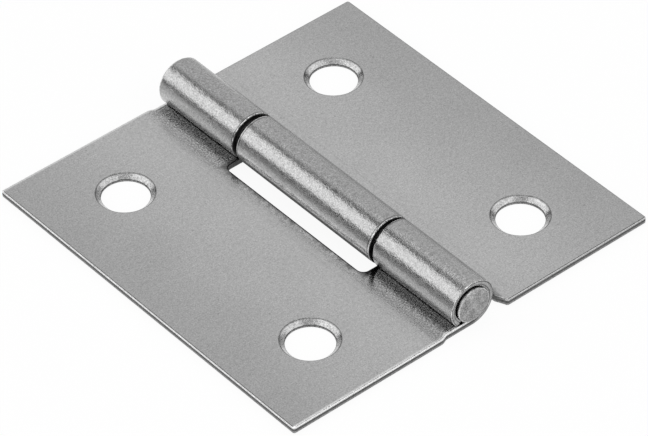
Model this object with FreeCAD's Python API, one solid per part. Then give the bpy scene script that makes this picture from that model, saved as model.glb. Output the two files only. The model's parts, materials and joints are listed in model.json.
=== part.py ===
import FreeCAD, Part
import math
import os

# Steel butt hinge, lying open and flat. X runs across the leaves, Y along the pin and Z up.
# The origin is on the flat backs of the leaves, straight below the middle of the pin.
# The leaf with the two outer knuckles lies at -X, and the one with the centre knuckle at +X.

# Driving sizes in millimetres
sheet = 0.85  # thickness of the steel that both leaves are cut from
leaf_length = 50.0  # of both leaves, along the pin
leaf_reach = 25.1  # from the pin's axis to a leaf's free edge

pin_radius = 2.05  # of the shank
running_clearance = 0.05  # between the shank and the rolled knuckles, all round
curl_tip_gap = 0.1  # between the end of a knuckle's curl and the leaf that it comes back to

centre_knuckle_length = 22.4
near_end_play = 0.3  # between the centre knuckle and the outer one at -Y
far_end_play = 0.55  # between the centre knuckle and the outer one at +Y

notch_clearance = 1.15  # between a knuckle's outside and the edge of the notch that it turns in
notch_corner_radius = 0.85  # at the bottom corners of a notch
neck_setback = 0.28  # how far the outer knuckles stand back from the ends of their leaf
neck_run = 0.65  # length of the step in the leaf's outline beside the neck
neck_margin = 0.8  # from the outside of the roll to that step
neck_corner_radius = 0.8  # at both ends of the step
lead_width = 0.7  # how far a notch of the other leaf opens out towards the end of the leaf
lead_length = 1.5  # of the stretch where it opens out

screw_hole_radius = 2.75
countersink_depth = 0.61
countersink_angle = 90.0  # between opposite sides, in degrees
countersink_lip_radius = 0.15  # of the rounded rim
screw_hole_from_end = 9.3  # from the end of a leaf to a screw hole's centre
screw_hole_off_middle = 0.4  # how far the holes stand outside the middle of the flat

upper_edge_radius = 0.2  # rolled over by the punch: top of the leaf and inside of the roll
under_edge_bevel = 0.12  # where the burr was taken off: back of the leaf and outside of the roll

bore_mouth_depth = 0.3  # of the broken inner edge at the hinge's two ends
head_spread = 0.15  # how far the pin's riveted ends spread beyond its shank, all round
head_proud = 0.25  # how far a riveted end stands out of its knuckle
head_edge_bevel = 0.1
head_dome = 0.05  # rise of a riveted end's face in its middle
head_seat_clearance = 0.01  # between the underside of a riveted end and the bore's mouth

# Sizes that follow
bore_radius = pin_radius + running_clearance
roll_radius = bore_radius + sheet
axis_height = roll_radius
half_length = leaf_length / 2
centre_knuckle_end = centre_knuckle_length / 2
outer_knuckle_end = half_length - neck_setback
notch_edge = roll_radius + notch_clearance
head_radius = pin_radius + head_spread
screw_hole_x = (notch_edge + leaf_reach) / 2 + screw_hole_off_middle
screw_hole_y = half_length - screw_hole_from_end
curl_end_angle = math.pi + math.asin(1 - (sheet + curl_tip_gap) / roll_radius)
beyond = 1.0  # how far a cutter reaches past what it cuts

along_pin = FreeCAD.Vector(0, 1, 0)
upwards = FreeCAD.Vector(0, 0, 1)


# A point of the rolled section, at an angle round the pin counted from +X towards +Z.
def around_pin(radius, angle):
    return FreeCAD.Vector(radius * math.cos(angle), 0, axis_height + radius * math.sin(angle))


def face_from(edges):
    return Part.Face(Part.Wire(edges))


# A plan outline, given as a list of points and corner radii, raised through the whole height of
# the hinge. A corner with a radius becomes an arc that touches both of its sides.
def plan_prism(corners):
    points = [FreeCAD.Vector(x, y, -beyond) for x, y, radius in corners]
    starts = []
    ends = []
    edges = []
    for i, point in enumerate(points):
        radius = corners[i][2]
        before = (points[i - 1] - point).normalize()
        after = (points[(i + 1) % len(points)] - point).normalize()
        half_corner = before.getAngle(after) / 2
        starts.append(point + before * (radius / math.tan(half_corner)))
        ends.append(point + after * (radius / math.tan(half_corner)))
        if radius > 0:
            to_arc = radius / math.sin(half_corner) - radius
            arc_middle = point + (before + after).normalize() * to_arc
            edges.append(Part.Arc(starts[i], arc_middle, ends[i]).toShape())
    for i in range(len(points)):
        edges.append(Part.LineSegment(ends[i - 1], starts[i]).toShape())
    outline = Part.sortEdges(edges)[0]
    return face_from(outline).extrude(upwards * (2 * roll_radius + 2 * beyond))


# Sheet bent to the leaf's section, before its outline is cut: flat from beyond the free edge at
# -X to a point below the pin, then rolled round the far side of the bore and down to its own top.
def rolled_strip():
    bottom_angle = -math.pi / 2
    middle_angle = (curl_end_angle + bottom_angle) / 2
    under_free = FreeCAD.Vector(-leaf_reach - beyond, 0, 0)
    upper_free = FreeCAD.Vector(-leaf_reach - beyond, 0, sheet)
    outside = [around_pin(roll_radius, a) for a in (bottom_angle, middle_angle, curl_end_angle)]
    inside = [around_pin(bore_radius, a) for a in (curl_end_angle, middle_angle, bottom_angle)]
    section = face_from([
        Part.LineSegment(under_free, outside[0]).toShape(),
        Part.Arc(*outside).toShape(),
        Part.LineSegment(outside[2], inside[0]).toShape(),
        Part.Arc(*inside).toShape(),
        Part.LineSegment(inside[2], upper_free).toShape(),
        Part.LineSegment(upper_free, under_free).toShape(),
    ])
    section.translate(along_pin * (-half_length - beyond))
    return section.extrude(along_pin * (leaf_length + 2 * beyond))


# True for the two skins of the sheet, which are level faces of the flat and cylinders round the pin.
def is_skin(face):
    surface = face.Surface
    if isinstance(surface, Part.Plane):
        return abs(surface.Axis.dot(upwards)) > 0.999
    if isinstance(surface, Part.Cylinder):
        return abs(surface.Axis.dot(along_pin)) > 0.999
    return False


# True for the back of the leaf and the outside of its roll.
def is_under_skin(face):
    surface = face.Surface
    middle_radius = (bore_radius + roll_radius) / 2
    if isinstance(surface, Part.Cylinder):
        return surface.Radius > middle_radius
    return face.BoundBox.ZMax < sheet / 2


# The blank's cut edges, rounded where they meet the upper skin of the sheet, which is the inside
# of the roll, and bevelled where they meet the under skin.
def with_eased_edges(leaf):
    upper = []
    under = []
    for edge in leaf.Edges:
        skins = [face for face in leaf.ancestorsOfType(edge, Part.Face) if is_skin(face)]
        if len(skins) == 1:
            (under if is_under_skin(skins[0]) else upper).append(edge)
    rounded = leaf.makeFillet(upper_edge_radius, upper)
    # the fillets leave the edges of the under skin as they were
    under_now = []
    for edge in rounded.Edges:
        for old in under:
            same_middle = edge.CenterOfMass.distanceToPoint(old.CenterOfMass) < 0.001
            if same_middle and abs(edge.Length - old.Length) < 0.001:
                under_now.append(edge)
    return rounded.makeChamfer(under_edge_bevel, under_now)


# Cutter for one countersunk screw hole: a straight hole, a cone and a rounded rim.
def screw_hole_cutter(x, y):
    half_angle = math.radians(countersink_angle / 2)
    land_top = sheet - countersink_depth
    rim = screw_hole_radius + countersink_depth * math.tan(half_angle)
    cone_turn = math.pi / 2 - half_angle
    tangent = countersink_lip_radius * math.tan(cone_turn / 2)
    lip_start = FreeCAD.Vector(
        rim - tangent * math.sin(half_angle), 0, sheet - tangent * math.cos(half_angle)
    )
    lip_end = FreeCAD.Vector(rim + tangent, 0, sheet)
    lip_middle = lip_end + FreeCAD.Vector(
        -countersink_lip_radius * math.sin(cone_turn / 2),
        0,
        -countersink_lip_radius * (1 - math.cos(cone_turn / 2)),
    )
    bottom = FreeCAD.Vector(screw_hole_radius, 0, -beyond)
    land = FreeCAD.Vector(screw_hole_radius, 0, land_top)
    above = FreeCAD.Vector(rim + tangent, 0, sheet + beyond)
    axis_top = FreeCAD.Vector(0, 0, sheet + beyond)
    axis_bottom = FreeCAD.Vector(0, 0, -beyond)
    half_section = face_from([
        Part.LineSegment(axis_bottom, bottom).toShape(),
        Part.LineSegment(bottom, land).toShape(),
        Part.LineSegment(land, lip_start).toShape(),
        Part.Arc(lip_start, lip_middle, lip_end).toShape(),
        Part.LineSegment(lip_end, above).toShape(),
        Part.LineSegment(above, axis_top).toShape(),
        Part.LineSegment(axis_top, axis_bottom).toShape(),
    ])
    cutter = half_section.revolve(FreeCAD.Vector(0, 0, 0), upwards, 360)
    cutter.translate(FreeCAD.Vector(x, y, 0))
    return cutter


def with_screw_holes(leaf):
    return leaf.cut([screw_hole_cutter(-screw_hole_x, side * screw_hole_y) for side in (-1, 1)])


# Cone that breaks the inner edge of the bore at one end of the hinge: side is -1 or 1 along Y.
def bore_mouth_cutter(side):
    inner_end = FreeCAD.Vector(0, side * (outer_knuckle_end - bore_mouth_depth), axis_height)
    length = bore_mouth_depth + beyond
    return Part.makeCone(bore_radius, bore_radius + length, length, inner_end, along_pin * side)


# Leaf at -X. The notch in its outline holds the centre knuckle, and a small step at each end
# sets the outer knuckles back.
def make_outer_knuckle_leaf():
    past_roll = roll_radius + beyond
    near = -centre_knuckle_end - near_end_play
    far = centre_knuckle_end + far_end_play
    neck = -roll_radius - neck_margin
    blank = plan_prism([
        (-leaf_reach, -half_length, 0),
        (neck - neck_run, -half_length, neck_corner_radius),
        (neck, -outer_knuckle_end, neck_corner_radius),
        (past_roll, -outer_knuckle_end, 0),
        (past_roll, near, 0),
        (-notch_edge, near, notch_corner_radius),
        (-notch_edge, far, notch_corner_radius),
        (past_roll, far, 0),
        (past_roll, outer_knuckle_end, 0),
        (neck, outer_knuckle_end, neck_corner_radius),
        (neck - neck_run, half_length, neck_corner_radius),
        (-leaf_reach, half_length, 0),
    ])
    leaf = with_eased_edges(rolled_strip().common(blank))
    leaf = leaf.cut([bore_mouth_cutter(side) for side in (-1, 1)])
    return with_screw_holes(leaf)


# Leaf at +X. The notches beside its knuckle hold the outer knuckles, and open out a little at the
# ends of the leaf. It is cut while it still points to -X, and then turned about the Z axis.
def make_centre_knuckle_leaf():
    past_roll = roll_radius + beyond
    blank = plan_prism([
        (-leaf_reach, -half_length, 0),
        (-notch_edge - lead_width, -half_length, 0),
        (-notch_edge, -half_length + lead_length, 0),
        (-notch_edge, -centre_knuckle_end, notch_corner_radius),
        (past_roll, -centre_knuckle_end, 0),
        (past_roll, centre_knuckle_end, 0),
        (-notch_edge, centre_knuckle_end, notch_corner_radius),
        (-notch_edge, half_length - lead_length, 0),
        (-notch_edge - lead_width, half_length, 0),
        (-leaf_reach, half_length, 0),
    ])
    leaf = with_screw_holes(with_eased_edges(rolled_strip().common(blank)))
    leaf.rotate(FreeCAD.Vector(0, 0, 0), upwards, 180)
    return leaf


# Straight pin through all three knuckles. Each end is riveted over into the broken edge of the
# bore, where it spreads to a low head with a slightly domed face.
def make_hinge_pin():
    end = outer_knuckle_end + head_proud
    flare_start = outer_knuckle_end - bore_mouth_depth - running_clearance + head_seat_clearance
    flare_end = flare_start + head_spread
    face_edge = end - head_dome
    face_radius = head_radius - head_edge_bevel
    # the face is part of a sphere centred on the pin's axis
    sphere_radius = (face_radius**2 + head_dome**2) / (2 * head_dome)
    halfway_r = face_radius / 2
    halfway_drop = sphere_radius - math.sqrt(sphere_radius**2 - halfway_r**2)

    # radius and distance along the pin, on one side of the middle
    def at(radius, along, side):
        return FreeCAD.Vector(radius, side * along, 0)

    def line(start, finish):
        return Part.LineSegment(start, finish).toShape()

    outline = [
        line(at(0, end, -1), at(0, end, 1)),
        line(at(pin_radius, flare_start, -1), at(pin_radius, flare_start, 1)),
    ]
    for side in (-1, 1):
        shank_end = at(pin_radius, flare_start, side)
        flare_rim = at(head_radius, flare_end, side)
        bevel_start = at(head_radius, face_edge - head_edge_bevel, side)
        face_rim = at(face_radius, face_edge, side)
        dome = Part.Arc(face_rim, at(halfway_r, end - halfway_drop, side), at(0, end, side))
        outline.append(line(shank_end, flare_rim))
        outline.append(line(flare_rim, bevel_start))
        outline.append(line(bevel_start, face_rim))
        outline.append(dome.toShape())
    half_section = face_from(Part.sortEdges(outline)[0])
    pin = half_section.revolve(FreeCAD.Vector(0, 0, 0), along_pin, 360)
    pin.translate(upwards * axis_height)
    return pin


os.makedirs("parts", exist_ok=True)
nodes = {
    "outer_knuckle_leaf": make_outer_knuckle_leaf(),
    "centre_knuckle_leaf": make_centre_knuckle_leaf(),
    "hinge_pin": make_hinge_pin(),
}
for name, shape in nodes.items():
    shape.exportStep(f"parts/{name}.step")
    print(name, len(shape.Solids), "solid, volume", round(shape.Volume, 2), "mm3")
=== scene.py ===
import json
import math
import bmesh
import bpy
import numpy as np
from mathutils import Matrix, Vector
from mathutils.geometry import delaunay_2d_cdt


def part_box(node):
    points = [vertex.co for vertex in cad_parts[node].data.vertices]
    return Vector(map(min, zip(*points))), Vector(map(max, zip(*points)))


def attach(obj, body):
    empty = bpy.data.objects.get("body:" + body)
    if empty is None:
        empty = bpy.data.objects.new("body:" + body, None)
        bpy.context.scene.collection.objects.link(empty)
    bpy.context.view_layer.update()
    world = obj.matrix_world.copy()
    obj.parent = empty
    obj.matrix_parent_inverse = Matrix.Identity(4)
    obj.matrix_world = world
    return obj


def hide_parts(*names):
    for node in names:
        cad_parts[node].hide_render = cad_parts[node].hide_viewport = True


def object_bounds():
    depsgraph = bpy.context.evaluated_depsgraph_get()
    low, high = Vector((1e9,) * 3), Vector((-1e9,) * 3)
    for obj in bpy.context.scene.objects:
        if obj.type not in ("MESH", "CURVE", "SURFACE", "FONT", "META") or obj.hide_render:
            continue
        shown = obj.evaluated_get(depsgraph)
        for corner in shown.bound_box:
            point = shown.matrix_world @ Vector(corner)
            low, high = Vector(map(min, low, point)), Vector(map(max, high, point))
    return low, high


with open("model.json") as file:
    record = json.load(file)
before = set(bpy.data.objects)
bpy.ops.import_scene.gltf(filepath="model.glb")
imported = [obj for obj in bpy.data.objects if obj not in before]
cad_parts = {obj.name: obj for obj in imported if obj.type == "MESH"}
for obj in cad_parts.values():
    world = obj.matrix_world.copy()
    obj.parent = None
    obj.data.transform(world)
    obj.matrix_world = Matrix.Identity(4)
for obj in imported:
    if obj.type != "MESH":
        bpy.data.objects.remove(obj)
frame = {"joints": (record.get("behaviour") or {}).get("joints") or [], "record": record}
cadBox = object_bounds()
mm = 0.001
print("frame loaded")

# A small steel butt hinge, zinc plated, open and flat on a white table.
# Lengths in the dictionaries are in millimetres, angles in degrees.


# Shader maths

class Wire:
    # one output socket of a shader's nodes; arithmetic on it adds Math nodes

    def __init__(self, finish, socket):
        self.finish = finish
        self.socket = socket

    def math(self, operation, *others):
        return self.finish.add("ShaderNodeMath", {"operation": operation}, [self, *others])

    def other(self, name):  # another output of the same node
        return Wire(self.finish, self.socket.node.outputs[name])

    def __add__(self, value):
        return self.math("ADD", value)

    def __radd__(self, value):
        return self.math("ADD", value)

    def __sub__(self, value):
        return self.math("SUBTRACT", value)

    def __rsub__(self, value):
        return self.finish.add("ShaderNodeMath", {"operation": "SUBTRACT"}, [value, self])

    def __mul__(self, value):
        return self.math("MULTIPLY", value)

    def __rmul__(self, value):
        return self.math("MULTIPLY", value)

    def __truediv__(self, value):
        return self.math("DIVIDE", value)

    def __abs__(self):
        return self.math("ABSOLUTE")


class Finish:
    # the nodes of one material or of the world

    def __init__(self, owner):
        owner.use_nodes = True
        self.tree = owner.node_tree
        self.tree.nodes.clear()

    # type of node, then its own settings, then the values or links of its sockets
    def add(self, kind, settings=None, sockets=(), out=0):
        node = self.tree.nodes.new(kind)
        for name, value in (settings or {}).items():
            setattr(node, name, value)
        pairs = sockets.items() if isinstance(sockets, dict) else enumerate(sockets)
        for key, value in pairs:
            if isinstance(value, Wire):
                self.tree.links.new(value.socket, node.inputs[key])
            else:
                node.inputs[key].default_value = value
        return Wire(self, node.outputs[out]) if len(node.outputs) else node

    # 0 below low, 1 above high, and an S-curve between them
    def step(self, value, low, high):
        settings = {"interpolation_type": "SMOOTHSTEP"}
        sockets = {"Value": value, "From Min": low, "From Max": high}
        return self.add("ShaderNodeMapRange", settings, sockets)

    # 1 between low and high, falling to 0 over the width of soft on both sides
    def band(self, value, low, high, soft):
        rise = self.step(value, low - soft / 2, low + soft / 2)
        fall = self.step(value, high - soft / 2, high + soft / 2)
        return rise * (1 - fall)

    # noise about 0, with size as the width of its largest patches
    def noise(self, place, size, detail=2.0, rough=0.5):
        sockets = {"Vector": place, "Scale": 1 / size, "Detail": detail, "Roughness": rough}
        return self.add("ShaderNodeTexNoise", {"normalize": True}, sockets) - 0.5

    # a place with each of its directions stretched by a factor of its own
    def stretch(self, place, x, y, z):
        return self.add("ShaderNodeVectorMath", {"operation": "MULTIPLY"}, [place, (x, y, z)])


# Camera and studio

camera = {
    "place": (-247.01, -299.25, 342.72),
    "aim": (-0.80, -1.20, 0.0),
    "roll": -1.18,
    "lens": 262.75,
    "sensor": 36.0,
    "nearest": 10.0,
    "farthest": 20000.0,
}

studio = {
    "lampDistance": 700.0,
    "sideTurn": 100.0,  # of the two side lamps, from the way the camera looks
    "sideLow": 12.0,  # the elevations between which they reach
    "sideHigh": 56.0,
    "sideHalfWidth": 42.0,
    "leftLevel": 1.14,
    "rightLevel": 0.95,
    "topWidth": 600.0,
    "topLevel": 1.0,
    "backTurn": (-40.0, 42.5),  # the two edges of the wall beyond the hinge
    "backSoft": 6.0,
    "backLevel": 0.58,
    "frontTurn": 140.0,  # the wall behind the camera starts here on both sides
    "frontSoft": 20.0,
    "frontLevel": 0.55,
    "gapLevel": 0.05,
    "floorWidth": 3000.0,
    "floorDrop": 0.02,
    "floorColour": 0.8,
    "floorLight": 0.86,  # how brightly the lamps light matt white on the floor
    "shadowShare": 0.1,
    "mirroredShare": 0.9,
}


def addObject(name, data):
    made = bpy.data.objects.new(name, data)
    bpy.context.scene.collection.objects.link(made)
    return made


def makeCamera():
    data = bpy.data.cameras.new("camera")
    data.lens = camera["lens"]
    data.sensor_width = camera["sensor"]
    data.clip_start = camera["nearest"] * mm
    data.clip_end = camera["farthest"] * mm
    seer = addObject("camera", data)
    place = Vector(camera["place"]) * mm
    look = Vector(camera["aim"]) * mm - place
    turn = look.to_track_quat("-Z", "Y").to_matrix().to_4x4()
    roll = Matrix.Rotation(math.radians(camera["roll"]), 4, "Z")
    seer.matrix_world = Matrix.Translation(place) @ turn @ roll
    bpy.context.scene.camera = seer
    return look.normalized()


# rectangular soft lamp, facing the hinge; level is how bright it looks, where 1 is white
def softLamp(name, azimuth, elevation, width, height, level):
    data = bpy.data.lights.new(name, "AREA")
    data.shape = "RECTANGLE"
    data.size = width * mm
    data.size_y = height * mm
    data.energy = level * math.pi * data.size * data.size_y
    lamp = addObject(name, data)
    a = math.radians(azimuth)
    e = math.radians(elevation)
    away = Vector((math.cos(a) * math.cos(e), math.sin(a) * math.cos(e), math.sin(e)))
    lamp.location = away * studio["lampDistance"] * mm
    lamp.rotation_euler = away.to_track_quat("Z", "Y").to_euler()
    lamp.visible_camera = False


def makeLamps(lookAzimuth):
    reach = studio["lampDistance"]
    middle = (studio["sideLow"] + studio["sideHigh"]) / 2
    height = 2 * reach * math.tan(math.radians(studio["sideHigh"] - studio["sideLow"]) / 2)
    width = 2 * reach * math.tan(math.radians(studio["sideHalfWidth"]))
    turn = studio["sideTurn"]
    softLamp("leftLamp", lookAzimuth + turn, middle, width, height, studio["leftLevel"])
    softLamp("rightLamp", lookAzimuth - turn, middle, width, height, studio["rightLevel"])
    softLamp("topLamp", lookAzimuth, 90.0, studio["topWidth"], studio["topWidth"], studio["topLevel"])


# the room: a grey wall beyond the hinge, another behind the camera and dark gaps between
def makeWorld(lookAzimuth):
    world = bpy.data.worlds.new("studio")
    bpy.context.scene.world = world
    room = Finish(world)
    way = room.add("ShaderNodeTexCoord")
    turned = room.add(
        "ShaderNodeVectorRotate",
        {"rotation_type": "Z_AXIS"},
        {"Vector": way, "Angle": -math.radians(lookAzimuth)},
    )
    ahead = room.add("ShaderNodeSeparateXYZ", {}, [turned])
    side = ahead.other("Y").math("ARCTAN2", ahead) * (180 / math.pi)
    back = room.band(side, *studio["backTurn"], studio["backSoft"])
    front = 1 - room.band(side, -studio["frontTurn"], studio["frontTurn"], studio["frontSoft"])
    level = studio["gapLevel"] + back * (studio["backLevel"] - studio["gapLevel"])
    level = level + front * (studio["frontLevel"] - studio["gapLevel"])
    light = room.add("ShaderNodeBackground", {}, {"Color": level, "Strength": 1.0})
    room.add("ShaderNodeOutputWorld", {}, {"Surface": light})


def surface(name, corners, faces):
    mesh = bpy.data.meshes.new(name)
    mesh.from_pydata((np.asarray(corners) * mm).tolist(), [], faces)
    return addObject(name, mesh)


# white of the table: its share of matt paint takes shadows, and the rest glows
def whiteTable(paint, share):
    matt = paint.add("ShaderNodeBsdfDiffuse", {}, {"Color": (share, share, share, 1)})
    strength = 1 - share * studio["floorLight"]
    glow = paint.add("ShaderNodeEmission", {}, {"Color": (1, 1, 1, 1), "Strength": strength})
    return paint.add("ShaderNodeAddShader", {}, [matt, glow])


# the table's shadows are pale in direct view and full in reflections
def makeFloor():
    half = studio["floorWidth"] / 2
    low = cadBox[0].z / mm - studio["floorDrop"]
    x, y = np.meshgrid([-half, half], [-half, half])
    corners = np.stack([x, y, np.full_like(x, low)], -1).reshape(-1, 3)
    floor = surface("floor", corners, [(0, 1, 3, 2)])
    material = bpy.data.materials.new("whiteTable")
    paint = Finish(material)
    direct = paint.add("ShaderNodeLightPath", out="Is Camera Ray")
    mirrored = direct.other("Is Glossy Ray").math("MAXIMUM", direct.other("Is Transmission Ray"))
    white = [whiteTable(paint, share) for share in (studio["shadowShare"], studio["mirroredShare"])]
    plain = studio["floorColour"]
    matt = paint.add("ShaderNodeBsdfDiffuse", {}, {"Color": (plain, plain, plain, 1)})
    shown = paint.add("ShaderNodeMixShader", {}, [mirrored, matt, white[1]])
    shown = paint.add("ShaderNodeMixShader", {}, [direct, shown, white[0]])
    paint.add("ShaderNodeOutputMaterial", {}, {"Surface": shown})
    floor.data.materials.append(material)


bpy.context.scene.view_settings.view_transform = "Standard"
look = makeCamera()
lookAzimuth = math.degrees(math.atan2(look.y, look.x))
makeLamps(lookAzimuth)
makeWorld(lookAzimuth)
makeFloor()
print("studio made")


# Finishes

zinc = {
    "plateLevel": 0.71,  # grey of the flat plate beside the roll
    "outerFall": 0.17,  # painted shade: share lost towards the leaf's outer edge
    "rollLevel": 0.55,  # where the sheet is bent, the plating is duller
    "shadedSidesLevel": 0.43,  # painted shade low on the roll's sides
    # painted shade in a ragged dark band beside the roll's highlight
    "darkBandShade": 0.22,
    "valleyShadeLevel": 0.31,  # painted shade in the recess beside the roll
    "valleyGrain": 5.5,
    "edgeShade": 0.72,
    "creaseShade": 0.45,
    "oneSideShadeDepth": 0.4,
    "markShade": 0.7,
    "shadeSpeckDepth": 0.33,
    "shadeSpeckCut": (0.02, 0.12),  # of the noise: above it lie the painted dark specks, the specks or the scratches
    "shadeSpeckWaves": 0.5,
    "darkLineShade": 0.06,
    "speckShade": 0.2,
    "speckCut": (0.24, 0.32),
    "scratchShine": 0.08,
    "scratchCut": (0.26, 0.34),
    "pinLevel": 0.33,
    "roughness": 0.175,
    "cloudRough": 0.08,  # how much the clouds and the grain change it
    "grainRough": 0.2,
    "grainSize": 0.17,
    "grainHeight": 0.013,
    "rollGrain": 1.1,  # how much higher the grain is on the roll
    "grainDepth": 1.0,
    "rollDepth": 0.5,  # what the roll adds to it
    "mottleSize": 0.42,
    "mottleDepth": 0.34,
    "waveSize": 0.8,
    "waveHeight": 0.022,
    "waveDepth": 0.12,
    "cloudSize": 7.0,
    "cloudDepth": 0.14,
    "speckSize": 0.6,
    "scratchSize": 0.3,
    "scratchStretch": 0.06,
}

# Where a leaf's finish changes. A pair is where a step starts and ends, and three numbers are a
# band's two sides and the width of its soft borders. A wobble is how much its edge wanders.
zone = {
    # across the flat blank, from the pin's axis, negative on the plate
    "outer": (-8.0, -26.0),
    "valley": (-5.6, -2.7),
    "valleyWobble": 1.2,
    "slotSide": (-5.05, -4.15),
    "slotRim": (-4.9, -4.4),
    "nearShadeLine": (-5.25, -5.1, 0.1),
    "farDarkLine": (-6.3, -6.1, 0.15),
    "darkLineWobble": 0.3,
    "neck": (-4.4, -3.75),
    "roll": (-1.0, 1.0),
    "bend": (-1.5, 0.5),
    "flatEnd": (-1.0, 0.5),
    "rimEnd": (0.8, 2.2),
    # up through the sheet, from its back
    "rim": (0.74, 0.81),
    "crease": (0.81, 0.844, 0.012),
    # along the pin, from its middle
    "endHighlight": (24.58, 24.7),
    "neckStep": 0.28,  # how much shorter the blank is past its neck
    "valleySoft": 1.0,
    "bareSoft": 0.6,
    "markWidth": 0.1,
    "markSoft": 0.06,
    "markWobble": 0.1,
    # round the roll, in radians from its top
    "highShadeSpecks": (0.3, 0.46, 0.1),
    "lowShadeSpecks": (0.96, 1.25, 0.15),
    "oneSideShade": (0.42, 1.1, 0.3),
    "side": (0.9, 1.2),
    "darkBand": (1.04, 1.3, 0.14),
    "darkBandWobble": 0.35,
    "sheenLift": (1.5, 1.78, 0.2),
    "under": (1.78, 2.5, 0.2),
}

# What differs between the two leaves. The valley is where the plate lies beside its own knuckles,
# and bare is where it faces the other leaf's, both along the pin from its middle. A fine darker line
# runs round the knuckles, as far from markMiddle as mark says.
outerKind = {
    "valley": (12.0, 30.0),
    "bare": (-1.0, 12.2),
    "rimHighlightLevel": 1.0,
    "endHighlight": 1.0,  # of the painted highlight on the rim at the hinge's ends
    "sheenLift": 0.22,
    "underShade": -0.45,  # painted shade under the roll; below 0 it is a painted highlight there instead
    "underRough": 0.0,
    "shadeSideSign": -1,
    "mark": 11.87,
    "markMiddle": 0.125,
}
centreKind = {
    "valley": (-1.0, 11.0),
    "bare": (11.4, 30.0),
    "rimHighlightLevel": 0.55,
    "endHighlight": 0.0,
    "sheenLift": 0.95,
    "underShade": 0.58,
    "underRough": 0.65,
    "shadeSideSign": 1,
    "mark": 10.84,
    "markMiddle": 0.0,
}

cutEdge = {
    "burnishAndSheen": 0.12,
    "broken": 0.32,
    "torn": (0.11, 0.34, 0.1),  # the height of the broken band in the sheet
    "tornWobble": 0.2,
    "ring": 0.38,  # the ends of the roll
    "ringStart": (0.0, 1.0),
    "outerLine": (0.07, 0.17, 0.06),  # two darker lines round them, in from the outside
    "innerLine": (0.5, 0.62, 0.08),
    "lineShade": 0.65,
    "gapShade": 0.12,
    "gapShadeStart": (-4.6, -4.0),
    "gapShadeEnd": (12.5, 13.5),
    "edgeHighlight": 0.9,
    "edgeHighlightWidth": (0.03, 0.06),
    "edgeHighlightCut": (-0.12, 0.05),
    "roughness": 0.38,
    "streakSize": 0.16,
    "streakStretch": 0.15,
    "streakDepth": 1.6,
    "streakRough": 0.2,
    "streakHeight": 0.02,
    "grainSize": 0.1,
    "grainDepth": 2.4,
    "grainHeight": 0.01,
}

cone = {
    "level": 0.58,
    "rimShade": 0.5,
    "rim": (0.76, 0.86, 0.05),
    "shadedLandLevel": 0.04,
    "land": (0.26, 0.34),
    "roughness": 0.22,
    "grainSize": 0.14,
    "grainDepth": 2.2,
    "grainRough": 0.15,
    "grainHeight": 0.014,
    "waveSize": 0.5,
    "waveDepth": 0.9,
    "waveHeight": 0.012,
}


# places on the flat blank before it was rolled: across the leaf, along the pin, up through the sheet
def blankPlace(finish):
    spot = finish.add("ShaderNodeAttribute", {"attribute_name": "blank"}, out="Vector")
    return finish.add("ShaderNodeSeparateXYZ", {}, [spot])


def placeInMm(finish):
    place = finish.add("ShaderNodeTexCoord", out="Object")
    return finish.stretch(place, 1 / mm, 1 / mm, 1 / mm)


def grey(finish, level):
    return finish.add("ShaderNodeCombineColor", {}, [level, level, level])


def closeMetal(finish, level, rough, height):
    bump = finish.add("ShaderNodeBump", {}, {"Height": height, "Distance": mm, "Strength": 1.0})
    sockets = {"Base Color": grey(finish, level), "Metallic": 1.0, "Roughness": rough, "Normal": bump}
    metal = finish.add("ShaderNodeBsdfPrincipled", {}, sockets)
    finish.add("ShaderNodeOutputMaterial", {}, {"Surface": metal})
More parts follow.
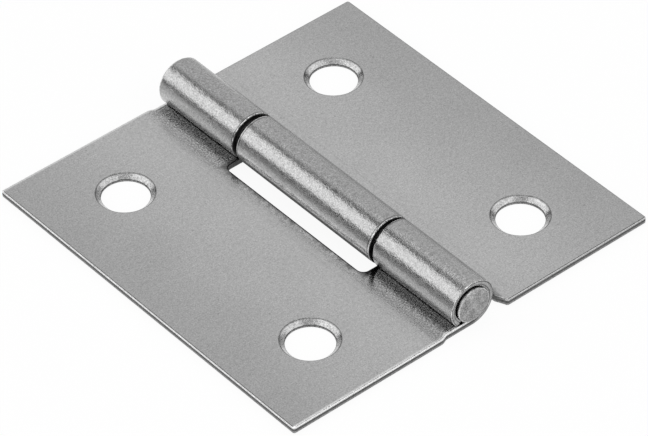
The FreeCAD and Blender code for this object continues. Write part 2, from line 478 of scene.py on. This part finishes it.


# grey of a leaf over its blank, with painted shade and highlights, and how much rougher than the plate
# it is
def leafLevel(metal, waves, grain, kind):
    across = blankPlace(metal)
    lengthwise = across.other("Y")
    along = abs(lengthwise)
    up = across.other("Z")
    bare = metal.band(along, *kind["bare"], zone["bareSoft"])
    # the plate, with painted shade towards its outer edge
    level = zinc["plateLevel"] * (1 - zinc["outerFall"] * metal.step(across, *zone["outer"]))
    bent = metal.step(across, *zone["bend"])
    level = level + bent * (zinc["rollLevel"] - level)

    # the rolled-over rim of the flat, a painted highlight on the outer leaf, but not where it faces a
    # knuckle of the other leaf
    away = 1 - metal.step(across, *zone["slotRim"]) * bare
    away = away * (1 - metal.step(across, *zone["rimEnd"]))
    level = level + away * (1 - metal.step(up, *zone["rim"])) * (kind["rimHighlightLevel"] - level)
    # painted shade in a fine crease just inside the rim
    level = level * (1 - away * metal.band(up, *zone["crease"]) * zinc["creaseShade"])

    # the roll, with painted shade low on its sides, in a band beside its highlight, on one side and
    # under it
    pastTop = across / middleRadius - math.pi
    fromTop = abs(pastTop)
    lower = bent * metal.step(fromTop, *zone["side"])
    level = level + lower * (zinc["shadedSidesLevel"] - zinc["rollLevel"])
    # painted shade in a ragged dark band beside the highlight
    darkBand = metal.band(fromTop + waves * zone["darkBandWobble"], *zone["darkBand"])
    level = level * (1 - bent * darkBand * zinc["darkBandShade"])
    # painted highlight: a band low on the roll's side made lighter
    burnishAndSheen = bent * metal.band(fromTop, *zone["sheenLift"])
    level = level * (1 + burnishAndSheen * kind["sheenLift"])
    # painted shade under the roll; where underShade is below 0 it is a painted highlight instead
    under = bent * metal.band(fromTop, *zone["under"])
    level = level * (1 - under * kind["underShade"])
    # painted dark specks along the borders of the roll's highlight
    shinySide = pastTop * -kind["shadeSideSign"]
    shadeSpeckBands = metal.band(shinySide, *zone["highShadeSpecks"]) + metal.band(shinySide, *zone["lowShadeSpecks"])
    shadeSpecks = metal.step(grain + waves * zinc["shadeSpeckWaves"], *zinc["shadeSpeckCut"])
    level = level * (1 - bent * shadeSpeckBands * shadeSpecks * zinc["shadeSpeckDepth"])
    # painted shade on one side of the roll
    oneSideShade = bent * metal.band(pastTop * kind["shadeSideSign"], *zone["oneSideShade"])
    level = level * (1 - oneSideShade * zinc["oneSideShadeDepth"])
    reach = abs(lengthwise - kind["markMiddle"]) + waves * zone["markWobble"]
    mark = metal.band(reach, kind["mark"], kind["mark"] + zone["markWidth"], zone["markSoft"])
    level = level * (1 - bent * mark * zinc["markShade"])

    # the flat: painted shade in the recess beside its own knuckles and along its edge beside the other
    # leaf's, two fine dark lines, the nearer of them painted shade beside the roll, and a painted
    # highlight on the rim at the hinge's ends
    flat = 1 - metal.step(across, *zone["flatEnd"])
    ragged = across + waves * zone["valleyWobble"]
    depth = flat * metal.step(ragged, *zone["valley"])
    depth = depth * metal.band(along, *kind["valley"], zone["valleySoft"])
    level = level + depth * (zinc["valleyShadeLevel"] - level)
    # painted shade along the edge beside the other leaf's knuckles
    edge = flat * metal.step(ragged, *zone["slotSide"]) * bare
    level = level * (1 - edge * zinc["edgeShade"])
    # two fine dark lines; the nearer is painted shade beside the roll
    place = across + waves * zone["darkLineWobble"]
    darkLines = metal.band(place, *zone["nearShadeLine"]) + metal.band(place, *zone["farDarkLine"])
    level = level * (1 - darkLines * zinc["darkLineShade"]) * (1 + depth * grain * zinc["valleyGrain"])
    # painted highlight on the rim at the hinge's ends
    fromEnd = along + metal.step(across, *zone["neck"]) * zone["neckStep"]
    endHighlighted = flat * metal.step(fromEnd, *zone["endHighlight"]) * kind["endHighlight"]
    level = level + endHighlighted * (kind["rimHighlightLevel"] - level)
    return level, under * kind["underRough"]


# dull zinc with a fine grain, soft mottling, a few specks and faint scratches; on the leaves the painted
# shade and highlights of leafLevel, on the pin head a painted highlight round its rim
def zincPlate(name, kind=None):
    material = bpy.data.materials.new(name)
    metal = Finish(material)
    place = placeInMm(metal)
    grain = metal.noise(place, zinc["grainSize"], 2.0, 0.6)
    mottle = metal.noise(place, zinc["mottleSize"], 2.0, 0.5)
    waves = metal.noise(place, zinc["waveSize"], 2.0, 0.5)
    cloud = metal.noise(place, zinc["cloudSize"], 3.0, 0.55)
    specks = metal.step(metal.noise(place, zinc["speckSize"], 1.0, 0.5), *zinc["speckCut"])
    drawn = metal.stretch(place, zinc["scratchStretch"], 1.0, 1.0)
    scratches = metal.step(metal.noise(drawn, zinc["scratchSize"], 1.0, 0.5), *zinc["scratchCut"])
    height = grain * zinc["grainHeight"]
    texture = cloud * zinc["cloudDepth"] + waves * zinc["waveDepth"] + mottle * zinc["mottleDepth"]
    texture = texture - specks * zinc["speckShade"] + scratches * zinc["scratchShine"]
    rough = zinc["roughness"] + cloud * zinc["cloudRough"] + grain * zinc["grainRough"]
    if kind:
        bent = metal.step(blankPlace(metal), *zone["roll"])
        level, rougher = leafLevel(metal, waves, grain, kind)
        rough = rough + rougher
        height = height * (1 + zinc["rollGrain"] * bent) + waves * (1 + bent) * zinc["waveHeight"]
        texture = texture + grain * (zinc["grainDepth"] + bent * zinc["rollDepth"])
    else:
        offAxis = metal.add("ShaderNodeSeparateXYZ", {}, [place])
        up = offAxis.other("Z") - axis.z
        fromMiddle = (offAxis * offAxis + up * up).math("SQRT")
        # painted highlight round the rim of the pin head
        inside, outside = (pin["headRadius"] - width for width in pin["rimHighlight"])
        level = zinc["pinLevel"] * (1 + metal.step(fromMiddle, inside, outside) * pin["rimHighlightLift"])
        texture = texture + grain * pin["headGrain"] + waves * pin["headWaves"]
    closeMetal(metal, level * (1 + texture), rough, height)
    return material


# the cut face: burnished below the rolled-over top, broken and darker towards the back; inside the
# joint the knuckles' ends carry painted shade, and all the knuckles' ends a painted highlight in patches
# along their outer edge
def shearedEdge():
    material = bpy.data.materials.new("shearedEdge")
    metal = Finish(material)
    place = placeInMm(metal)
    across = blankPlace(metal)
    up = across.other("Z")
    drawn = metal.stretch(place, 1.0, 1.0, cutEdge["streakStretch"])
    streaks = metal.noise(drawn, cutEdge["streakSize"], 2.0, 0.6)
    grain = metal.noise(place, cutEdge["grainSize"], 2.0, 0.6)
    torn = metal.band(up + streaks * cutEdge["tornWobble"], *cutEdge["torn"])
    level = cutEdge["burnishAndSheen"] + torn * (cutEdge["broken"] - cutEdge["burnishAndSheen"])
    rolled = metal.step(across, *cutEdge["ringStart"])
    lines = metal.band(up, *cutEdge["innerLine"]) + metal.band(up, *cutEdge["outerLine"])
    level = level + rolled * (cutEdge["ring"] * (1 - cutEdge["lineShade"] * lines) - level)
    # painted shade on the knuckles' ends inside the joint gaps
    inJoint = 1 - metal.step(abs(across.other("Y")), *cutEdge["gapShadeEnd"])
    gapShade = metal.step(across, *cutEdge["gapShadeStart"]) * inJoint
    level = level + gapShade * (cutEdge["gapShade"] - level)
    # painted highlight in patches along the outer edge of the roll's ends
    patches = metal.step(streaks + grain, *cutEdge["edgeHighlightCut"])
    edgeHighlight = rolled * (1 - metal.step(up, *cutEdge["edgeHighlightWidth"])) * patches
    level = level + edgeHighlight * (cutEdge["edgeHighlight"] - level)
    level = level * (1 + streaks * cutEdge["streakDepth"] + grain * cutEdge["grainDepth"])
    rough = cutEdge["roughness"] + streaks * cutEdge["streakRough"]
    height = streaks * cutEdge["streakHeight"] + grain * cutEdge["grainHeight"]
    closeMetal(metal, level, rough, height)
    return material


# the screw holes: a bright grainy cone between a rim and a land darkened by painted shade
def turnedCone():
    material = bpy.data.materials.new("turnedCone")
    metal = Finish(material)
    place = placeInMm(metal)
    up = blankPlace(metal).other("Z")
    grain = metal.noise(place, cone["grainSize"], 2.0, 0.6)
    waves = metal.noise(place, cone["waveSize"], 2.0, 0.5)
    # painted shade on the cone's rim and its land
    level = cone["level"] * (1 - cone["rimShade"] * metal.band(up, *cone["rim"]))
    level = level + (1 - metal.step(up, *cone["land"])) * (cone["shadedLandLevel"] - level)
    level = level * (1 + grain * cone["grainDepth"] + waves * cone["waveDepth"])
    rough = cone["roughness"] + grain * cone["grainRough"]
    height = grain * cone["grainHeight"] + waves * cone["waveHeight"]
    closeMetal(metal, level, rough, height)
    return material


# wire inside the knuckles, painted dark for the shade inside the bore
def shadedPinShank():
    material = bpy.data.materials.new("shadedPinShank")
    metal = Finish(material)
    grain = metal.noise(placeInMm(metal), pin["shankGrain"], 2.0, 0.6)
    # painted shade: the wire is kept dark for the shade inside the bore
    level = pin["shankShadeLevel"] * (1 + grain * pin["shankDepth"])
    rough = pin["shankRoughness"] + grain * pin["shankRough"]
    closeMetal(metal, level, rough, grain * pin["shankHeight"])
    return material


# Rolled leaves

axis = Vector(frame["joints"][0]["pos_m"]) / mm
leafLow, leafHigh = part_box("outer_knuckle_leaf")
mounts = {mount["name"]: mount for mount in frame["record"]["mounts"]}
screws = mounts["centre_leaf_screws"]

leaf = {
    "thickness": 0.85,
    "reach": -leafLow.x / mm,
    "halfLength": leafHigh.y / mm,
    "rollRadius": cadBox[1].z / mm / 2,
    "tipGap": 0.03,
    "notchEdge": 4.1,  # of the plates beside the other leaf's knuckles, from the pin's axis
    "centreEnd": 11.2,
    "nearGap": 0.3,  # the play in the joints on the two sides of the centre knuckle
    "farGap": 0.55,
    "outerEnd": 24.72,
    "notchCorner": 0.85,
    "neck": 3.75,
    "neckRun": 0.65,
    "neckCorner": 0.8,
    "leadWidth": 0.7,
    "leadLength": 1.5,
    "sharpCorner": 0.3,
    "screwX": screws["pos_m"][0] / mm,
    "screwY": screws["dims"]["spacing_y_mm"] / 2,
    "screwRadius": screws["dims"]["hole_r_mm"],
    "nearSlant": 0.4,  # of the outer tabs' inner edges, so that the joint gaps widen to the tips
    "farSlant": 0.4 / 3,
    "slantStart": 6.5,
    "slantBend": 4.0,
    "mouthWiden": 0.55,  # at the hinge's ends the bore opens on one side of the pin
    "mouthTurn": 130.0,
    "mouthPower": 1.5,
    "mouthStart": 23.6,
    "mouthDepth": 1.0,
    "rolloverWidth": 0.24,
    "rolloverDepth": 0.18,
    "coneDepth": 0.61,
    "coneWidth": 0.42,
    "lipRadius": 0.15,
}

meshing = {
    "step": 0.45,
    "rollStretch": 3.0,  # how much finer the mesh is round the roll than on the flat
    "arcStep": 0.16,
    "circleSteps": 96,
    "rolloverPoints": 7,
    "lipPoints": 5,
    "conePoints": 6,
    "headPoints": 6,
    "domePoints": 14,
    "borderWidth": 0.06,  # of the narrow row of faces along each edge
    "clearing": 0.6,  # of the grid from the borders, as a share of its step
    "gridParts": 12,  # the distances are taken in parts, to save memory
    "holeShare": 0.999,  # faces with their middle nearer than this share of a hole's radius go
    "weld": 0.0005,
}
middleRadius = leaf["rollRadius"] - leaf["thickness"] / 2
curlEnd = math.pi + math.asin(1 - (leaf["thickness"] + leaf["tipGap"]) / leaf["rollRadius"])
curlLength = middleRadius * (curlEnd + math.pi / 2)

outerFinish = zincPlate("outerLeafZinc", outerKind)
centreFinish = zincPlate("centreLeafZinc", centreKind)
edgeFinish = shearedEdge()
coneFinish = turnedCone()
print("leaf finishes made")

# Edge sections: how far in from the edge, and how high in the sheet, from the top skin to the back.
# The punch rolls the top over in a quarter ellipse. The face below is straight, then breaks out.
rollover = np.linspace(0, math.pi / 2, meshing["rolloverPoints"])
brokenEdge = [(0.0, 0.5), (0.0, 0.34), (0.01, 0.2), (0.02, 0.1), (0.05, 0.05), (0.09, 0.02), (0.15, 0.0)]
shearedSection = np.concatenate([
    np.stack([
        leaf["rolloverWidth"] * (1 - np.sin(rollover)),
        leaf["thickness"] - leaf["rolloverDepth"] * (1 - np.cos(rollover)),
    ], -1),
    brokenEdge,
])

# A screw hole: a rounded rim, a cone of 45 degrees, a short straight land and a broken lower edge.
lip = np.linspace(0, math.pi / 4, meshing["lipPoints"])
lipReach = leaf["lipRadius"] * math.tan(math.pi / 8)
coneRun = np.linspace(leaf["coneWidth"], 0.0, meshing["conePoints"])
landEdge = [(0.0, 0.16), (0.0, 0.08), (0.04, 0.0)]
holeSection = np.concatenate([
    np.stack([
        leaf["coneDepth"] + lipReach - leaf["lipRadius"] * np.sin(lip),
        leaf["thickness"] - leaf["lipRadius"] * (1 - np.cos(lip)),
    ], -1),
    np.stack([coneRun, leaf["thickness"] - leaf["coneDepth"] + coneRun], -1),
    landEdge,
])


# Points and outward normals along a closed outline. Each corner is a point and a radius, in order
# against the clock. A corner's arc starts and ends where it touches the two sides.
def walkOutline(corners):
    table = np.array(corners, float)
    point, radius = table[:, :2], table[:, 2]
    arrive = point - np.roll(point, 1, 0)
    arrive /= np.linalg.norm(arrive, axis=1, keepdims=True)
    leave = np.roll(arrive, -1, 0)
    cross = arrive[:, 0] * leave[:, 1] - arrive[:, 1] * leave[:, 0]
    turn = np.arctan2(cross, (arrive * leave).sum(1))
    reach = (radius * np.tan(np.abs(turn) / 2))[:, None]
    start, end = point - arrive * reach, point + leave * reach
    places, normals = [], []
    for i in range(len(point)):
        bend = np.linspace(0, turn[i], max(2, round(abs(turn[i]) / meshing["arcStep"])) + 1)
        out = np.array([arrive[i, 1], -arrive[i, 0]])
        along = arrive[i]
        normal = np.cos(bend)[:, None] * out + np.sin(bend)[:, None] * along
        side = math.copysign(radius[i], turn[i])
        places.append(start[i] - side * out + side * normal)
        normals.append(normal)
        to = start[(i + 1) % len(point)]
        rolled = max(to[0], end[i, 0]) > 0 and abs(leave[i, 0]) > 0.5
        step = meshing["step"] / (meshing["rollStretch"] if rolled else 1)
        count = max(2, math.ceil(np.linalg.norm(to - end[i]) / step))
        share = np.linspace(0, 1, count + 1)[1:-1, None]
        places.append(end[i] + share * (to - end[i]))
        normals.append(np.repeat([[leave[i, 1], -leave[i, 0]]], len(share), 0))
    return np.concatenate(places), np.concatenate(normals)


# The angles of the points round a circle, without the last, which is the first again.
def fullTurn():
    return np.linspace(0, 2 * math.pi, meshing["circleSteps"] + 1)[:-1]


# A round hole, seen from the metal: its normals point to its middle.
def walkHole(x, y, radius):
    turn = fullTurn()
    ray = np.stack([np.cos(turn), np.sin(turn)], -1)
    return np.array([x, y]) + radius * ray, -ray


# The sheet rolled up from its blank. Left of the pin's axis it stays flat. Beyond it, the distance s
# turns round the pin at the middle of the sheet, and the height t is counted in from the outside.
# Near the hinge's ends the inner side of the roll is pushed out by a power of the turn's cosine.
def rollUp(s, y, t):
    turn = np.maximum(s, 0) / middleRadius - math.pi / 2
    side = np.cos(turn - math.radians(leaf["mouthTurn"]))
    mouth = np.clip(side, 0, 1)**leaf["mouthPower"]
    mouth = mouth * np.clip((np.abs(y) - leaf["mouthStart"]) / leaf["mouthDepth"], 0, 1)
    mouth = mouth * np.clip(t / leaf["thickness"], 0, 1)
    radius = leaf["rollRadius"] - t + leaf["mouthWiden"] * mouth
    flat = s <= 0
    x = np.where(flat, s, radius * np.cos(turn))
    z = np.where(flat, t, leaf["rollRadius"] + radius * np.sin(turn))
    return np.stack([x, y, z], -1)


# Section carried round an outline: one row of points for each point of the section, and one finish
# for each of its steps.
def edgeBand(outline, section, finishes):
    place, normal = outline
    s = place[None, :, 0] - section[:, :1] * normal[None, :, 0]
    y = place[None, :, 1] - section[:, :1] * normal[None, :, 1]
    t = np.repeat(section[:, 1:], len(place), 1)
    rows, count = s.shape
    index = np.arange(rows * count).reshape(rows, count)
    nextOne = np.roll(index, -1, 1)
    quads = np.stack([index[:-1], index[1:], nextOne[1:], nextOne[:-1]], -1).reshape(-1, 4)
    return np.stack([s, y, t], -1).reshape(-1, 3), quads, np.repeat(finishes, count)


# One skin of the blank: a fine grid of points inside the outline and round the holes, joined to
# triangles. Beyond the pin's axis the grid is stretched, so that it is finer round the roll.
def skin(outline, holes, edgeInset, holeInset, t):
    stretch = meshing["rollStretch"]
    step = meshing["step"]

    def insetLoops(more):
        place, normal = outline
        loops = [place - (edgeInset + more) * normal]
        return loops + [place - (holeInset + more) * normal for place, normal in holes]

    def widen(points):
        s, y = points.T
        return np.stack([np.where(s > 0, s * stretch, s), y], -1)

    loops = insetLoops(0)
    border = widen(np.concatenate(loops))
    inner = widen(np.concatenate(insetLoops(meshing["borderWidth"])))
    u = np.arange(-leaf["reach"], curlLength * stretch, step)
    v = np.arange(-leaf["halfLength"], leaf["halfLength"], step)
    u, v = np.meshgrid(u, v)
    grid = np.stack([u.ravel(), v.ravel()], -1)
    gap = np.full(len(grid), np.inf)
    for part in np.array_split(np.concatenate([border, inner]), meshing["gridParts"]):
        apart = grid[:, None] - part[None]
        gap = np.minimum(gap, np.sqrt((apart**2).sum(2)).min(1))
    grid = grid[gap > meshing["clearing"] * step]
    points = np.concatenate([border, inner, grid])
    edges, first = [], 0
    for loop in loops:
        index = np.arange(first, first + len(loop))
        edges.append(np.stack([index, np.roll(index, -1)], -1))
        first += len(loop)
    corners = [Vector(p) for p in points.tolist()]
    made = delaunay_2d_cdt(corners, np.concatenate(edges).tolist(), [], 1, 1e-6)
    found = np.array([(p.x, p.y) for p in made[0]])
    triangles = np.array(made[2])
    middle = found[triangles].mean(1)
    for place, _ in holes:
        centre = place.mean(0)
        radius = np.linalg.norm(place[0] - centre) + holeInset
        fromCentre = np.linalg.norm(middle - centre, axis=1)
        triangles = triangles[fromCentre > radius * meshing["holeShare"]]
        middle = found[triangles].mean(1)
    s = np.where(found[:, 0] > 0, found[:, 0] / stretch, found[:, 0])
    return np.stack([s, found[:, 1], np.full(len(s), t)], -1), triangles, np.zeros(len(triangles), int)


# One mesh from patches of blank points, rolled up and joined where they meet.
def makePiece(name, patches, finishes, shape):
    blanks, faces, kinds, first = [], [], [], 0
    for points, patch, kind in patches:
        blanks.append(points)
        faces += (patch + first).tolist()
        kinds += kind.tolist()
        first += len(points)
    blank = np.concatenate(blanks)
    mesh = bpy.data.meshes.new(name)
    mesh.from_pydata((shape(blank) * mm).tolist(), [], faces)
    kept = mesh.attributes.new("blank", "FLOAT_VECTOR", "POINT")
    kept.data.foreach_set("vector", blank.astype(np.float32).ravel())
    mesh.polygons.foreach_set("material_index", kinds)
    mesh.polygons.foreach_set("use_smooth", [True] * len(faces))
    for finish in finishes:
        mesh.materials.append(finish)
    shell = bmesh.new()
    shell.from_mesh(mesh)
    bmesh.ops.remove_doubles(shell, verts=shell.verts, dist=meshing["weld"] * mm)
    bmesh.ops.recalc_face_normals(shell, faces=shell.faces)
    shell.to_mesh(mesh)
    openEdges = sum(not edge.is_manifold for edge in shell.edges)
    shell.free()
    piece = addObject(name, mesh)
    even = piece.modifiers.new("even", "WEIGHTED_NORMAL")
    even.keep_sharp = False
    even.weight = 90
    print(name, len(mesh.polygons), "faces", openEdges, "open edges")
    return piece


def makeLeaf(name, corners, finish, turned):
    outline = walkOutline(corners)
    spots = [(-leaf["screwX"], side * leaf["screwY"]) for side in (-1, 1)]
    holes = [walkHole(x, y, leaf["screwRadius"]) for x, y in spots]
    top = skin(outline, holes, shearedSection[0, 0], holeSection[0, 0], leaf["thickness"])
    under = skin(outline, holes, shearedSection[-1, 0], holeSection[-1, 0], 0.0)
    sheared = [0] * (len(rollover) - 1) + [1] * len(brokenEdge)
    turnedHole = [2] * (len(lip) + len(coneRun) - 1) + [1] * len(landEdge)
    patches = [top, under, edgeBand(outline, shearedSection, sheared)]
    patches += [edgeBand(hole, holeSection, turnedHole) for hole in holes]

    def shape(blank):
        placed = rollUp(*blank.T)
        return placed * (-1, -1, 1) if turned else placed

    return makePiece(name, patches, [finish, edgeFinish, coneFinish], shape)


def outerLeafCorners():
    size = leaf
    small = size["sharpCorner"]
    near = -size["centreEnd"] - size["nearGap"]
    far = size["centreEnd"] + size["farGap"]
    end = size["halfLength"]
    neck = size["neck"]
    bend = size["neckCorner"]
    return [
        (-size["reach"], -end, small),
        (-neck - size["neckRun"], -end, bend),
        (-neck, -size["outerEnd"], bend),
        (curlLength, -size["outerEnd"], small),
        (curlLength, near - size["nearSlant"], small),
        (size["slantStart"], near, size["slantBend"]),
        (-size["notchEdge"], near, size["notchCorner"]),
        (-size["notchEdge"], far, size["notchCorner"]),
        (size["slantStart"], far, size["slantBend"]),
        (curlLength, far + size["farSlant"], small),
        (curlLength, size["outerEnd"], small),
        (-neck, size["outerEnd"], bend),
        (-neck - size["neckRun"], end, bend),
        (-size["reach"], end, small),
    ]


def centreLeafCorners():
    size = leaf
    small = size["sharpCorner"]
    end = size["halfLength"]
    lead = size["notchEdge"] + size["leadWidth"]
    edge = size["notchEdge"]
    return [
        (-size["reach"], -end, small),
        (-lead, -end, small),
        (-edge, -end + size["leadLength"], small),
        (-edge, -size["centreEnd"], size["notchCorner"]),
        (curlLength, -size["centreEnd"], small),
        (curlLength, size["centreEnd"], small),
        (-edge, size["centreEnd"], size["notchCorner"]),
        (-edge, end - size["leadLength"], small),
        (-lead, end, small),
        (-size["reach"], end, small),
    ]


outerLeaf = makeLeaf("outerLeaf", outerLeafCorners(), outerFinish, False)
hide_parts("outer_knuckle_leaf")
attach(outerLeaf, "fixed_leaf")
centreLeaf = makeLeaf("centreLeaf", centreLeafCorners(), centreFinish, True)
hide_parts("centre_knuckle_leaf")
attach(centreLeaf, "swinging_leaf")
print("leaves made")


# Riveted pin

pin = {
    "shank": 2.05,
    "headRadius": 2.16,
    "end": 24.97,
    "headMiddle": 24.65,
    "headBack": 24.53,
    "flareStart": 24.38,
    "hiddenStart": 23.0,
    "edgeRound": 0.14,
    "dome": 0.05,
    "rimHighlight": (0.18, 0.1),  # how far in from the head's edge its painted highlight starts and is full
    "rimHighlightLift": 0.7,
    "headGrain": 2.5,
    "headWaves": 1.2,
    "shankShadeLevel": 0.22,
    "shankRoughness": 0.4,
    "shankGrain": 0.2,  # size of its grain, and what the grain does to grey, roughness and height
    "shankDepth": 0.4,
    "shankRough": 0.2,
    "shankHeight": 0.01,
    "shankMargin": 0.01,
}
pinFinish = zincPlate("pinHeadZinc")
shankFinish = shadedPinShank()


# Outline turned round the pin: radius and distance along it, from one end's middle to the other's.
def makePin():
    face = pin["end"] - pin["dome"]
    arc = np.linspace(0, math.pi / 2, meshing["headPoints"])
    edge = pin["edgeRound"]
    rim = pin["headRadius"] - edge
    across = np.linspace(0, 1, meshing["domePoints"])[1:-1]
    half = np.concatenate([
        np.stack([rim * across, pin["end"] - pin["dome"] * across**2], -1),
        np.stack([rim + edge * np.sin(arc), face - edge * (1 - np.cos(arc))], -1),
        [(pin["headRadius"], pin["headMiddle"]), (pin["headRadius"], pin["headBack"])],
        [(pin["shank"], pin["flareStart"]), (pin["shank"], pin["hiddenStart"])],
    ])
    section = np.concatenate([half, half[::-1] * (1, -1)])
    turn = fullTurn()
    radius = np.repeat(section[:, :1], len(turn), 1)
    along = np.repeat(section[:, 1:], len(turn), 1)
    rows, count = radius.shape
    angle = np.repeat(turn[None], rows, 0)
    points = np.stack([angle, along, radius], -1).reshape(-1, 3)
    index = np.arange(rows * count).reshape(rows, count)
    nextOne = np.roll(index, -1, 1)
    quads = np.stack([index[:-1], index[1:], nextOne[1:], nextOne[:-1]], -1).reshape(-1, 4)
    poles = np.array([(0.0, pin["end"], 0.0), (0.0, -pin["end"], 0.0)])
    caps = []
    for row, pole in ((0, 0), (rows - 1, 1)):
        ends = np.stack([index[row], nextOne[row], np.full(count, rows * count + pole)], -1)
        caps += ends.tolist()

    def shape(blank):
        angle, along, radius = blank.T
        return np.stack([radius * np.cos(angle), along, axis.z + radius * np.sin(angle)], -1)

    mesh = bpy.data.meshes.new("rivetedPin")
    blank = np.concatenate([points, poles])
    mesh.from_pydata((shape(blank) * mm).tolist(), [], quads.tolist() + caps)
    mesh.polygons.foreach_set("use_smooth", [True] * len(mesh.polygons))
    hidden = np.abs(along) < pin["headBack"] - pin["shankMargin"]
    inside = hidden[:-1] | hidden[1:]
    kinds = inside.astype(int).ravel().tolist() + [0] * len(caps)
    mesh.polygons.foreach_set("material_index", kinds)
    shell = bmesh.new()
    shell.from_mesh(mesh)
    bmesh.ops.recalc_face_normals(shell, faces=shell.faces)
    shell.to_mesh(mesh)
    shell.free()
    mesh.materials.append(pinFinish)
    mesh.materials.append(shankFinish)
    piece = addObject("rivetedPin", mesh)
    even = piece.modifiers.new("even", "WEIGHTED_NORMAL")
    even.keep_sharp = False
    return piece


rivetedPin = makePin()
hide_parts("hinge_pin")
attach(rivetedPin, "fixed_leaf")
print("pin made")
